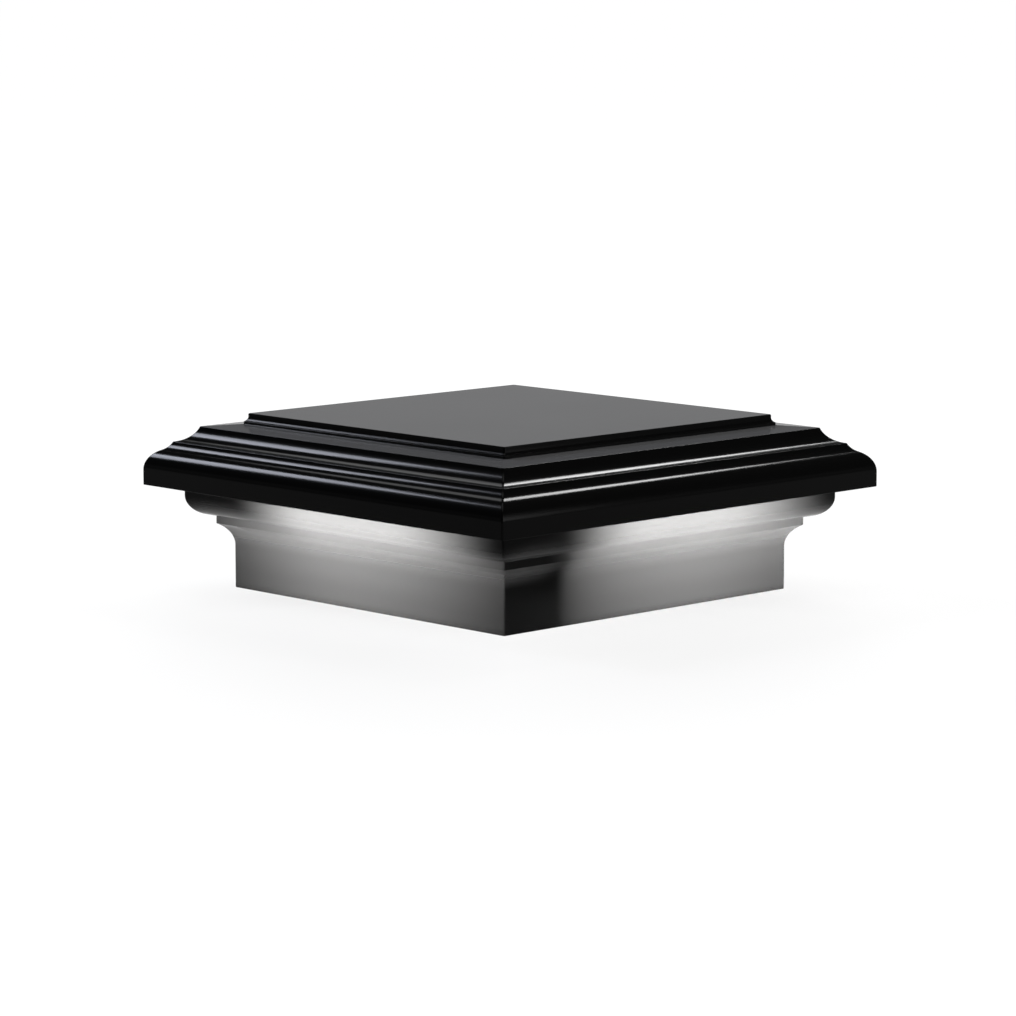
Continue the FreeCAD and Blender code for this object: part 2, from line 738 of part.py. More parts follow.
def build():
    pieces = {
        "skirt": skirt_casting(),
        "neck_seal": neck_seal(),
        "lid": lid_casting(),
        "light_tray": light_tray(),
        "tray_sealant": sealant_bead(),
        "tray_screws": tray_screws(),
        "board_screws": board_screws(),
        "clip_screws": clip_screws(),
        "gland_body": gland_body(),
        "gland_nut": gland_nut(),
        "gland_cap": gland_cap(),
        "gland_insert": gland_insert(),
        "driver_board": driver_board(),
        "driver_standoffs": standoffs(),
        "driver_screws": driver_screws(),
        "driver_inductor": inductor(),
        "driver_capacitor": capacitor(),
        "driver_regulator": on_driver(regulator_body, (regulator_x, regulator_shift)),
        "driver_rectifier": on_driver(rectifier_body, (rectifier_x, rectifier_shift)),
        "driver_resistors": resistors(),
        "input_terminal": input_terminal(),
        "output_socket": output_socket(),
        "red_wires": wires(0),
        "black_wires": wires(wire_pitch),
    }
    for quarter, side in enumerate(SIDES):
        pieces["light_board_" + side] = turned(light_board(), quarter)
        pieces["light_chips_" + side] = turned(light_chips(), quarter)
        pieces["lens_" + side] = turned(lens_bar(), quarter)
        pieces["clip_" + side] = turned(spring_clip(), quarter - 1)
    return pieces


def main():
    os.makedirs("parts", exist_ok=True)
    for name, shape in build().items():
        shape.exportStep(f"parts/{name}.step")
        print(f"{name:20s} solids {len(shape.Solids):2d}  volume {shape.Volume:9.1f} mm3", shape.isValid())


main()
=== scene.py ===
import math

import bmesh
import bpy
from bpy.props import FloatProperty, FloatVectorProperty, PointerProperty
from bpy.types import Operator, Panel, PropertyGroup
from mathutils import Matrix, Vector


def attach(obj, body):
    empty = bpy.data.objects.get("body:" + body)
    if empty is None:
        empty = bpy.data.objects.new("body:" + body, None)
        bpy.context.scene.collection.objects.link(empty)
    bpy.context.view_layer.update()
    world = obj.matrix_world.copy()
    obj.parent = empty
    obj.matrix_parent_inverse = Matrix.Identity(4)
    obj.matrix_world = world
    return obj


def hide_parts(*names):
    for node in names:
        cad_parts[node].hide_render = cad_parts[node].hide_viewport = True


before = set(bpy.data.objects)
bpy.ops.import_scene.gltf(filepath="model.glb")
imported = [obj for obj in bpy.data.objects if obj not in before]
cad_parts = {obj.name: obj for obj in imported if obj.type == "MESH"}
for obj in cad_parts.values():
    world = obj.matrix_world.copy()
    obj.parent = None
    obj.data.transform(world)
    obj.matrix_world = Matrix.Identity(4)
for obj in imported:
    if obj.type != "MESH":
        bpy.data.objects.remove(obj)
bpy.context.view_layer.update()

bl_info = {
    "name": "Deck Post Cap Light",
    "version": (1, 0, 0),
    "blender": (4, 5, 0),
    "location": "View3D > Sidebar > Cap Light",
    "description": "Makes a square stepped cap light for a deck post round its solid parts",
    "category": "Add Mesh",
}

MM = 0.001
QUARTER = math.pi / 2
SIDES = ("front", "right", "back", "left")
SKIRT_BODY, HEAD_BODY = "skirt_body", "head"

# Outlines of the mouldings in mm, given upwards as half width and height. A third number is the
# radius of an arc: it bulges outwards where it is positive and is hollow where it is negative.
LID_OUTSIDE = [
    (71.65, 28.6), (71.65, 32.8),        # upright rim
    (67.994, 38.323, 6.0),               # round-over
    (65.75, 40.6077, -4.37),             # small hollow
    (60.45, 44.8677, -6.5),              # large hollow
    (51.9, 45.5668), (51.9, 46.3),       # sloping tread and the low step above it
    (51.0, 47.45, -1.45),                # hollow at the foot of the top panel
    (51.0, 48.5677),
]
LID_HOLLOW = [
    (69.25, 28.6), (69.25, 32.8), (65.65, 36.4, 3.6), (63.35, 38.7588), (58.9444, 42.4677, -8.9),
    (48.6, 43.1177), (48.6, 46.1677),
]
SKIRT_OUTSIDE = [
    (53.8, 0), (53.8, 12),               # upright skirt
    (57.45, 17.9, -6.6), (57.45, 20.3),  # hollow and narrow band
    (58.2, 20.3), (63.6, 25.7, 5.4),     # ledge and quarter round
    (63.6, 27.2), (60.0, 27.2), (60.0, 29.6),
]
SKIRT_INSIDE = [(57.6, 29.6), (57.6, 22.0), (31.0, 22.0), (31.0, 19.5), (51.4, 19.5), (51.4, 0)]

# Sizes in mm
PANEL_EDGE = [(0, -0.3), (-0.1, -0.07), (-0.32, 0)]    # steps that round the top panel's edge
WINDOW_HALF, WINDOW_CORNER = 31.0, 9.0                 # square opening in the inner plate
DECK_FOOT, DECK_TOP = 19.5, 22.0                       # the inner plate
POST_HOLE_AT, POST_HOLE_RADIUS, POST_HOLE_FLATS = 40.0, 2.5, 32
BOSS_AT, BOSS_RADIUS, BOSS_FLATS = (64.5, 40.0), 3.0, 32
BOSS_FOOT, BOSS_TOP = 32.8, 48.0                       # cut back to the lid's inside afterwards
BOSS_HOLE_RADIUS, BOSS_HOLE_TOP, BOSS_HOLE_FLATS = 1.55, 38.45, 24
OVERLAP = 1                                            # how far one piece runs into the next
BAR_OUT, BAR_MIDDLE, BAR_LENGTH = 66.0, 11.0, 80.0     # a light bar's place on its side
CHIP_COUNT, CHIP_END_GAP = 9, 3.2

# Corners sharper than this are rounded, and edges sharper than this aren't shaded smooth.
LEAST_TURN, SHARP_ANGLE = math.radians(20), math.radians(40)
EDGE_FLATS, MITRE_FLATS = 3, 4
MOST_SETBACK = 0.45        # share of the shorter of two flats that a rounding may take up


# ---------------------------------------------------------------- settings in the sidebar
def shade(name, description, value):
    """A setting that is a colour."""
    return FloatVectorProperty(name=name, description=description, default=value, size=3,
                               min=0, max=1, subtype="COLOR")


class CapSizes(PropertyGroup):
    """How finely the castings' edges and curves are made."""
    mitre_round: FloatProperty(
        name="Mitre rounding", description="Rounding of the four upright corners",
        default=0.0005, min=0.0001, max=0.003, subtype="DISTANCE", unit="LENGTH")
    edge_round: FloatProperty(
        name="Edge rounding", description="Rounding of the mouldings' sharp edges",
        default=0.00018, min=0.00005, max=0.001, subtype="DISTANCE", unit="LENGTH")
    arc_step: FloatProperty(
        name="Arc step", description="Length of one flat along a moulding's curve",
        default=0.00055, min=0.0002, max=0.002, subtype="DISTANCE", unit="LENGTH")


class CapFinish(PropertyGroup):
    """Colours and gloss of the finishes."""
    coat_color: shade("Coat", "Powder coat of the lid and the skirt", (0.003, 0.003, 0.003))
    # The dust colour is also a painted sheen: it lightens the lid's level faces as glancing light
    # would.
    dust_and_sheen_color: shade("Dust", "Fine dust on the faces that lie level", (0.064, 0.064, 0.065))
    coat_roughness: FloatProperty(
        name="Coat roughness", description="Gloss of the powder coat",
        default=0.13, min=0.02, max=1)
    tray_color: shade("Tray", "Moulded tray under the lid", (0.02, 0.02, 0.021))
    board_color: shade("Driver board", "Solder mask of the driver board", (0.02, 0.16, 0.06))
    lens_glow: FloatProperty(
        name="Lens glow", description="Brightness of the lit lens bars",
        default=1.0, min=0, max=20)


class CapStudio(PropertyGroup):
    """Light of the lamp itself and of the studio round it."""
    wash_power: FloatProperty(
        name="Wash", description="Power of each light bar",
        default=0.9, min=0, max=20, unit="POWER")
    wash_color: shade("Wash color", "Colour of the light bars", (1.0, 0.99, 0.98))
    bounce_power: FloatProperty(
        name="Bounce", description="Light thrown back up to each side of the skirt",
        default=3.6, min=0, max=50, unit="POWER")
    overhead: FloatProperty(
        name="Overhead light", description="Power of the large soft light above",
        default=12.0, min=0, max=200, unit="POWER")


# ---------------------------------------------------------------- outlines and swept meshes
def arc_points(start, end, radius, step):
    """Points along an arc after its start, up to and with its end."""
    (ax, az), (bx, bz) = start, end
    chord = math.hypot(bx - ax, bz - az)
    reach = math.sqrt(max(radius ** 2 - chord ** 2 / 4, 0)) * math.copysign(1, radius)
    cx = (ax + bx) / 2 - (bz - az) / chord * reach
    cz = (az + bz) / 2 + (bx - ax) / chord * reach
    first, last = math.atan2(az - cz, ax - cx), math.atan2(bz - cz, bx - cx)
    turn = (last - first + math.pi) % (2 * math.pi) - math.pi
    count = max(3, math.ceil(abs(turn * radius) / step))
    points = []
    for i in range(1, count):
        angle = first + turn * i / count
        points.append((cx + abs(radius) * math.cos(angle), cz + abs(radius) * math.sin(angle)))
    return points + [end]


def traced(outline, step):
    """The outline as points, its arcs cut into flats of about this length."""
    points = [outline[0][:2]]
    for piece in outline[1:]:
        if len(piece) == 2:
            points.append(piece)
        else:
            points += arc_points(points[-1], piece[:2], piece[2], step)
    return points


def eased(points, radius, closed):
    """The same points with each sharp corner rounded."""
    result = []
    count = len(points)
    for i, point in enumerate(points):
        if not closed and i in (0, count - 1):
            result.append(point)
            continue
        here, before = Vector(point), Vector(points[i - 1])
        way_in, way_out = here - before, Vector(points[(i + 1) % count]) - here
        turn = way_in.angle(way_out)
        if turn < LEAST_TURN:
            result.append(point)
            continue
        farthest = MOST_SETBACK * min(way_in.length, way_out.length)
        setback = min(radius * math.tan(turn / 2), farthest)
        first = here - way_in.normalized() * setback
        last = here + way_out.normalized() * setback
        for k in range(EDGE_FLATS + 1):
            t = k / EDGE_FLATS
            result.append(tuple(first * (1 - t) ** 2 + here * 2 * t * (1 - t) + last * t ** 2))
    return result


def square_ring(half, corner, z):
    """Points round a square with rounded corners, in metres."""
    ring = []
    for quarter in range(4):
        diagonal = QUARTER * (quarter + 0.5)
        x = math.copysign(half - corner, math.cos(diagonal))
        y = math.copysign(half - corner, math.sin(diagonal))
        for k in range(MITRE_FLATS + 1):
            angle = QUARTER * (quarter + k / MITRE_FLATS)
            point = Vector((x + corner * math.cos(angle), y + corner * math.sin(angle), z))
            ring.append(point * MM)
    return ring


def square_rings(outline, corner):
    """A ring for each point of the outline."""
    return [square_ring(half, corner, z) for half, z in outline]


def round_ring(radius, z, count, middle):
    """Points round a circle, in metres."""
    ring = []
    for i in range(count):
        angle = 2 * math.pi * i / count
        x, y = middle[0] + radius * math.cos(angle), middle[1] + radius * math.sin(angle)
        ring.append(Vector((x, y, z)) * MM)
    return ring


def add_band(bm, low, high):
    """Faces from one ring of corners to the next."""
    for i in range(len(low)):
        j = (i + 1) % len(low)
        bm.faces.new((low[i], low[j], high[j], high[i]))


def skin(rings, closed):
    """A mesh over a run of rings. Where the run isn't closed, its two ends are capped."""
    bm = bmesh.new()
    rows = [[bm.verts.new(p) for p in ring] for ring in rings]
    pairs = list(zip(rows, rows[1:]))
    if closed:
        pairs.append((rows[-1], rows[0]))
    else:
        bm.faces.new(rows[0])
        bm.faces.new(rows[-1])
    for low, high in pairs:
        add_band(bm, low, high)
    bmesh.ops.recalc_face_normals(bm, faces=bm.faces)
    return bm


def posts(places, radius, foot, top, count):
    """Upright cylinders at these places, as one mesh."""
    bm = bmesh.new()
    for place in places:
        low = [bm.verts.new(p) for p in round_ring(radius, foot, count, place)]
        high = [bm.verts.new(p) for p in round_ring(radius, top, count, place)]
        bm.faces.new(low)
        bm.faces.new(high)
        add_band(bm, low, high)
    bmesh.ops.recalc_face_normals(bm, faces=bm.faces)
    return bm


def four_corners(*halves):
    """The corners of a square round the middle, for each of these half widths."""
    return [(x * half, y * half) for half in halves for x in (-1, 1) for y in (-1, 1)]


def to_object(bm, name):
    """A new object in the scene with this mesh, which is used up."""
    mesh = bpy.data.meshes.new(name)
    bm.to_mesh(mesh)
    bm.free()
    piece = bpy.data.objects.new(name, mesh)
    bpy.context.scene.collection.objects.link(piece)
    return piece


def combine(piece, other, operation):
    """Joins, cuts or overlaps piece with other, which is used up."""
    step = piece.modifiers.new(operation.title(), "BOOLEAN")
    step.operation, step.object, step.solver = operation, other, "EXACT"
    graph = bpy.context.evaluated_depsgraph_get()
    mesh = bpy.data.meshes.new_from_object(piece.evaluated_get(graph))
    piece.modifiers.clear()
    old, piece.data = piece.data, mesh
    mesh.name = piece.name
    bpy.data.meshes.remove(old)
    bpy.data.objects.remove(other)


def smooth(piece):
    """Smooth shading that keeps flats flat and sharp edges sharp."""
    piece.data.shade_smooth()
    piece.data.set_sharp_from_angle(angle=SHARP_ANGLE)
    weighted = piece.modifiers.new("Flat faces", "WEIGHTED_NORMAL")
    weighted.keep_sharp = True
    weighted.weight = 100


def dress(piece, material, body, slot, *nodes):
    """Gives a piece its material, the body it rides on and the solids it stands for."""
    piece.data.materials.clear()
    piece.data.materials.append(material)
    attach(piece, body)
    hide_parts(*nodes)


# ---------------------------------------------------------------- node trees
class Graph:
    """Adds nodes to a tree. An input's value is a number, a colour, or another node's output."""

    def __init__(self, tree):
        self.tree = tree

    def add(self, kind, inputs=None, **settings):
        node = self.tree.nodes.new(kind)
        for name, value in settings.items():
            setattr(node, name, value)
        for name, value in (inputs or {}).items():
            if isinstance(value, bpy.types.NodeSocket):
                self.tree.links.new(value, node.inputs[name])
            else:
                node.inputs[name].default_value = value
        return node

    def math(self, operation, *values):
        return self.add("ShaderNodeMath", dict(enumerate(values)), operation=operation).outputs[0]

    def vector(self, operation, *values, gives="Vector"):
        node = self.add("ShaderNodeVectorMath", dict(enumerate(values)), operation=operation)
        return node.outputs[gives]

    def scaled(self, color, factor):
        inputs = {0: color, "Scale": factor}
        return self.add("ShaderNodeVectorMath", inputs, operation="SCALE").outputs["Vector"]

    def split(self, vector):
        return self.add("ShaderNodeSeparateXYZ", {"Vector": vector}).outputs

    def mix(self, share, first, second):
        inputs = {"Fac": share, "Color1": first, "Color2": second}
        return self.add("ShaderNodeMixRGB", inputs).outputs["Color"]

    def place(self):
        return self.add("ShaderNodeTexCoord").outputs["Object"]

    def geometry(self, output):
        return self.add("ShaderNodeNewGeometry").outputs[output]

    def noise(self, place, scale, detail):
        inputs = {"Vector": place, "Scale": scale, "Detail": detail}
        return self.add("ShaderNodeTexNoise", inputs).outputs["Fac"]

    def soft_step(self, value, low, high):
        """0 up to the low value, 1 from the high value on, and an even change between them."""
        inputs = {"Value": value, "From Min": low, "From Max": high}
        node = self.add("ShaderNodeMapRange", inputs, interpolation_type="SMOOTHSTEP")
        return node.outputs["Result"]

    def ramp(self, value, stops):
        """The strength for a value, between these pairs of value and strength."""
        first, last = stops[0][0], stops[-1][0]
        share = self.add("ShaderNodeMapRange", {
            "Value": value, "From Min": first, "From Max": last, "To Min": 0.0, "To Max": 1.0})
        node = self.add("ShaderNodeValToRGB", {"Fac": share.outputs["Result"]})
        points = node.color_ramp.elements
        for at, strength in stops[1:-1]:
            points.new((at - first) / (last - first)).color = (strength,) * 3 + (1,)
        points[0].color = (stops[0][1],) * 3 + (1,)
        points[len(points) - 1].color = (stops[-1][1],) * 3 + (1,)
        return node.outputs["Color"]


FLOAT, COLOR, VECTOR = "NodeSocketFloat", "NodeSocketColor", "NodeSocketVector"


def shader_group(name, inputs, outputs):
    """A node group with these sockets and no nodes yet."""
    tree = bpy.data.node_groups.new(name, "ShaderNodeTree")
    for label, kind, value in inputs:
        socket = tree.interface.new_socket(label, in_out="INPUT", socket_type=kind)
        socket.default_value = value
    for label, kind in outputs:
        tree.interface.new_socket(label, in_out="OUTPUT", socket_type=kind)
    return tree


def orange_peel():
    """The slow waves and fine speckle of a sprayed and baked coat."""
    tree = shader_group(
        "Orange Peel",
        [("Wave Scale", FLOAT, 320.0), ("Speckle Scale", FLOAT, 2600.0), ("Speckle", FLOAT, 0.25)],
        [("Height", FLOAT), ("Mask", FLOAT)])
    g = Graph(tree)
    given = g.add("NodeGroupInput").outputs
    place = g.place()
    wave = g.noise(place, given["Wave Scale"], 2.0)
    speckle = g.noise(place, given["Speckle Scale"], 2.0)
    drift = g.noise(place, 28.0, 3.0)
    height = g.math("MULTIPLY_ADD", speckle, given["Speckle"], wave)
    g.add("NodeGroupOutput", {"Height": height, "Mask": drift})
    return tree


# How thick the film of dust and painted sheen lies, from the upward part of the face's normal. The
# film lightens level faces as glancing light would, so it is partly painted sheen.
DUST_AND_SHEEN_FILM = [(0.94, 0), (0.97, 0.1), (0.985, 0.22), (0.993, 0.3), (0.9955, 1.0), (1.0, 1.0)]


def level_dust_and_sheen():
    """A thin even film on faces that lie level, which thins out as they slope: dust together with
    a painted sheen that lightens the level faces.
    """
    tree = shader_group(
        "Level Dust",
        [("Coat", COLOR, (0.003, 0.003, 0.003, 1)), ("Dust", COLOR, (0.06, 0.06, 0.06, 1))],
        [("Color", COLOR)])
    g = Graph(tree)
    given = g.add("NodeGroupInput").outputs
    # Painted sheen and dust: level faces are mixed towards the lighter film colour.
    film = g.ramp(g.split(g.geometry("Normal"))["Z"], DUST_AND_SHEEN_FILM)
    g.add("NodeGroupOutput", {"Color": g.mix(film, given["Coat"], given["Dust"])})
    return tree


def moulded_grain():
    """Fine spark-eroded grain of a moulded part, with a slow change in tone."""
    tree = shader_group(
        "Moulded Grain",
        [("Scale", FLOAT, 1800.0), ("Color", COLOR, (0.02, 0.02, 0.02, 1)),
         ("Tone Change", FLOAT, 0.25)],
        [("Height", FLOAT), ("Color", COLOR), ("Mask", FLOAT)])
    g = Graph(tree)
    given = g.add("NodeGroupInput").outputs
    place = g.place()
    pits = g.add("ShaderNodeTexVoronoi", {"Vector": place, "Scale": given["Scale"]})
    grain = g.noise(place, given["Scale"], 3.0)
    drift = g.noise(place, 45.0, 4.0)
    height = g.math("ADD", pits.outputs["Distance"], grain)
    tone = g.math("MULTIPLY_ADD", g.math("SUBTRACT", drift, 0.5), given["Tone Change"], 1.0)
    toned = g.scaled(given["Color"], tone)
    g.add("NodeGroupOutput", {"Height": height, "Color": toned, "Mask": drift})
    return tree


def brushed_lines():
    """Fine lines of drawn or turned metal along one direction."""
    tree = shader_group(
        "Brushed Lines",
        [("Stretch", VECTOR, (400.0, 400.0, 9000.0)), ("Color", COLOR, (0.6, 0.6, 0.6, 1)),
         ("Roughness", FLOAT, 0.3)],
        [("Height", FLOAT), ("Color", COLOR), ("Roughness", FLOAT)])
    g = Graph(tree)
    given = g.add("NodeGroupInput").outputs
    place = g.place()
    lines = g.noise(g.vector("MULTIPLY", place, given["Stretch"]), 1.0, 4.0)
    drift = g.noise(place, 160.0, 3.0)
    spread = g.math("ADD", 0.6, g.math("MULTIPLY", lines, 0.8))
    rough = g.math("MULTIPLY", given["Roughness"], spread)
    tone = g.math("ADD", 0.86, g.math("MULTIPLY", drift, 0.28))
    toned = g.scaled(given["Color"], tone)
    g.add("NodeGroupOutput", {"Height": lines, "Color": toned, "Roughness": rough})
    return tree


def built_group(maker, name):
    """The node group of this name, which is made when it is first asked for."""
    return bpy.data.node_groups.get(name) or maker()


# ---------------------------------------------------------------- finishes
class Finish:
    """A new material with its Principled shader, ready to be given its texture."""

    def __init__(self, name, **sockets):
        self.material = bpy.data.materials.new(name)
        self.material.use_nodes = True
        self.graph = Graph(self.material.node_tree)
        self.shader = self.material.node_tree.nodes["Principled BSDF"]
        for label, value in sockets.items():
            self.shader.inputs[label.replace("_", " ")].default_value = value

    def join(self, socket, label):
        self.material.node_tree.links.new(socket, self.shader.inputs[label])

    def group(self, maker, name, **inputs):
        values = {label.replace("_", " "): value for label, value in inputs.items()}
        tree = built_group(maker, name)
        return self.graph.add("ShaderNodeGroup", values, node_tree=tree).outputs

    def bump(self, height, distance):
        inputs = {"Height": height, "Distance": distance, "Strength": 1.0}
        self.join(self.graph.add("ShaderNodeBump", inputs).outputs["Normal"], "Normal")


def rgba(color):
    return (*color, 1.0)


# Moulded, rubber, foam and ceramic finishes: the nodes that have it, its colour, roughness, grains
# to a metre, the grain's depth in metres, and how much the tone changes.
GRAINED = {
    "Cured Sealant": (["tray_sealant"], (0.05, 0.05, 0.05), 0.35, 500.0, 0.00003, 0.25),
    "Closed Cell Foam": (["neck_seal"], (0.03, 0.03, 0.03), 0.85, 900.0, 0.0001, 0.6),
    "White Board Mask": (
        ["light_board_" + side for side in SIDES], (0.85, 0.85, 0.84), 0.35, 700.0, 0.00001, 0.08),
    "Black Nylon": (
        ["gland_body", "gland_nut", "gland_cap"], (0.025, 0.025, 0.026), 0.42, 2200.0, 0.000012,
        0.25),
    "Gland Rubber": (["gland_insert"], (0.04, 0.04, 0.04), 0.7, 1500.0, 0.00002, 0.25),
    "Ferrite": (["driver_inductor"], (0.06, 0.06, 0.065), 0.6, 1400.0, 0.00003, 0.25),
    "Chip Epoxy": (
        ["driver_regulator", "driver_rectifier"], (0.03, 0.03, 0.03), 0.55, 2600.0, 0.00001, 0.25),
    "Thick Film": (["driver_resistors"], (0.08, 0.08, 0.09), 0.4, 1800.0, 0.00001, 0.25),
    "Terminal Plastic": (["input_terminal"], (0.05, 0.3, 0.12), 0.35, 1500.0, 0.00001, 0.15),
    "Socket Plastic": (["output_socket"], (0.85, 0.85, 0.82), 0.45, 1500.0, 0.00001, 0.1),
    "Red Insulation": (["red_wires"], (0.6, 0.03, 0.03), 0.4, 900.0, 0.000008, 0.15),
    "Black Insulation": (["black_wires"], (0.02, 0.02, 0.02), 0.4, 900.0, 0.000008, 0.25),
}
# Metals: the nodes, the colour, the roughness, and how fine the lines are along X, Y and Z.
METALS = {
    "Spring Steel": (
        ["clip_" + side for side in SIDES], (0.55, 0.55, 0.56), 0.28, (3000.0, 3000.0, 300.0)),
    "Stainless Screw": (
        ["tray_screws", "board_screws", "clip_screws", "driver_screws"],
        (0.6, 0.6, 0.6), 0.25, (900.0, 900.0, 6000.0)),
    "Turned Brass": (["driver_standoffs"], (0.75, 0.58, 0.28), 0.25, (300.0, 300.0, 7000.0)),
    "Drawn Can": (["driver_capacitor"], (0.75, 0.75, 0.76), 0.3, (200.0, 200.0, 5000.0)),
}
COAT_DEPTH = METAL_DEPTH = 0.000004
COAT_SPECULAR = 0.025


def finish_nodes(names, material):
    """Gives CAD nodes their material. Their shapes stay as they are."""
    for name in names:
        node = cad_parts[name]
        if not node.data.materials:
            node.data.materials.append(material)
        for i in range(len(node.data.materials)):
            node.data.materials[i] = material


def grained(name, color, roughness, grain, depth, tone):
    """Moulded plastic, rubber, foam or ceramic."""
    finish = Finish(name)
    made = finish.group(moulded_grain, "Moulded Grain", Scale=grain, Color=rgba(color),
                        Tone_Change=tone)
    finish.join(made["Color"], "Base Color")
    spread = finish.graph.math("MULTIPLY_ADD", made["Mask"], roughness * 0.4, roughness * 0.8)
    finish.join(spread, "Roughness")
    finish.bump(made["Height"], depth)
    return finish.material


def metal(name, color, roughness, stretch):
    """Drawn, turned or rolled metal."""
    finish = Finish(name, Metallic=1.0)
    made = finish.group(brushed_lines, "Brushed Lines", Stretch=stretch, Color=rgba(color),
                        Roughness=roughness)
    finish.join(made["Color"], "Base Color")
    finish.join(made["Roughness"], "Roughness")
    finish.bump(made["Height"], METAL_DEPTH)
    return finish.material


def finish_grained(*names):
    """Gives the nodes of these moulded finishes their material."""
    for name in names:
        nodes, *values = GRAINED[name]
        finish_nodes(nodes, grained(name, *values))


def finish_metals(*names):
    """Gives the nodes of these metals their material."""
    for name in names:
        nodes, *values = METALS[name]
        finish_nodes(nodes, metal(name, *values))


def coat_material(name, with_dust_and_sheen):
    """Gloss black powder coat. Where asked, its level faces get a film of dust and painted sheen
    that lightens them.
    """
    given = bpy.context.scene.cap_finish
    coat, rough = rgba(given.coat_color), given.coat_roughness
    finish = Finish(name, Base_Color=coat, Specular_IOR_Level=COAT_SPECULAR)
    made = finish.group(orange_peel, "Orange Peel", Wave_Scale=320.0, Speckle_Scale=2600.0,
                        Speckle=0.2)
    if with_dust_and_sheen:
        # Painted sheen: the film lightens the level faces as glancing light would, on top of the
        # dust.
        film = finish.group(level_dust_and_sheen, "Level Dust", Coat=coat, Dust=rgba(given.dust_and_sheen_color))
        finish.join(film["Color"], "Base Color")
    spread = finish.graph.math("MULTIPLY_ADD", made["Mask"], rough * 0.3, rough * 0.85)
    finish.join(spread, "Roughness")
    finish.bump(made["Height"], COAT_DEPTH)
    return finish.material


def board_material():
    """Solder mask with copper tracks that show through it."""
    color = bpy.context.scene.cap_finish.board_color
    lighter = tuple(min(1, c * 1.8 + 0.02) for c in color)
    finish = Finish("Driver Board Mask", Coat_Weight=0.3)
    g = finish.graph
    place = g.place()
    tracks = g.add("ShaderNodeTexBrick", {
        "Vector": place, "Color1": (0, 0, 0, 1), "Color2": (0.25, 0.25, 0.25, 1),
        "Mortar": (1, 1, 1, 1), "Scale": 180.0, "Mortar Size": 0.035, "Brick Width": 1.4,
        "Row Height": 0.5}, offset=0.37).outputs["Color"]
    finish.join(g.mix(tracks, rgba(color), rgba(lighter)), "Base Color")
    finish.join(g.math("MULTIPLY_ADD", g.noise(place, 300.0, 3.0), 0.2, 0.25), "Roughness")
    finish.bump(tracks, 0.00002)
    return finish.material


def side_direction(quarter):
    """The way a bar runs on this side, from its near end to its far end."""
    angle = QUARTER * quarter
    return tuple(round(v, 6) for v in (math.cos(angle), math.sin(angle), 0))


def lens_material(quarter):
    """Frosted bar lit from above, a little brighter under each chip."""
    finish = Finish(
        f"Frosted Lens {SIDES[quarter].title()}", Base_Color=(0.92, 0.92, 0.92, 1),
        Roughness=0.45, Emission_Strength=bpy.context.scene.cap_finish.lens_glow)
    g = finish.graph
    place = g.place()
    along = g.vector("DOT_PRODUCT", place, side_direction(quarter), gives="Value")
    pitch = (BAR_LENGTH - 2 * CHIP_END_GAP) / (CHIP_COUNT - 1) * MM
    from_middle = g.math("SUBTRACT", along, BAR_MIDDLE * MM)
    phase = g.math("MULTIPLY", from_middle, 2 * math.pi / pitch)
    glow = g.math("MULTIPLY_ADD", g.math("COSINE", phase), 0.06, 0.9)
    color = g.add("ShaderNodeCombineColor", {
        "Red": glow, "Green": g.math("MULTIPLY", glow, 0.99),
        "Blue": g.math("MULTIPLY", glow, 0.97)})
    finish.join(color.outputs["Color"], "Emission Color")
    finish.bump(g.noise(place, 2400.0, 3.0), 0.00001)
    return finish.material


def chip_material():
    """Yellow phosphor in a white frame, lit."""
    finish = Finish("Light Chip", Roughness=0.4, Emission_Strength=1.0)
    g = finish.graph
    speck = g.noise(g.place(), 1500.0, 2.0)
    color = g.mix(speck, (0.95, 0.93, 0.85, 1), (1, 0.98, 0.92, 1))
    finish.join(color, "Base Color")
    finish.join(color, "Emission Color")
    return finish.material


# ---------------------------------------------------------------- the pieces
class CAP_OT_lid(Operator):
    """Make the stepped lid: a cast shell with bosses for the tray's screws"""
    bl_idname = "cap_light.lid"
    bl_label = "Make Lid"

    def execute(self, context):
        sizes = context.scene.cap_sizes
        step, corner = sizes.arc_step / MM, sizes.mitre_round / MM
        wall = traced(LID_HOLLOW, step)
        outline = wall[::-1] + traced(LID_OUTSIDE, step)
        outline = eased(outline, sizes.edge_round / MM, closed=False)
        last_half, last_z = outline.pop()
        outline += [(last_half + inwards, last_z + up) for inwards, up in PANEL_EDGE]
        lid = to_object(skin(square_rings(outline, corner), closed=False), "lid_shell")

        places = four_corners(*BOSS_AT)
        bosses = posts(places, BOSS_RADIUS, BOSS_FOOT, BOSS_TOP, BOSS_FLATS)
        bosses = to_object(bosses, "bosses")
        inside = [(half + OVERLAP, z + OVERLAP) for half, z in wall]
        inside[0] = (inside[0][0], wall[0][1])
        inside = to_object(skin(square_rings(inside, corner), closed=False), "inside")
        combine(bosses, inside, "INTERSECT")
        combine(lid, bosses, "UNION")
        holes = posts(places, BOSS_HOLE_RADIUS, BOSS_FOOT - OVERLAP, BOSS_HOLE_TOP,
                      BOSS_HOLE_FLATS)
        combine(lid, to_object(holes, "holes"), "DIFFERENCE")
        smooth(lid)
        dress(lid, coat_material("Lid Coat", with_dust_and_sheen=True), HEAD_BODY, "black_coat", "lid")
        return {"FINISHED"}


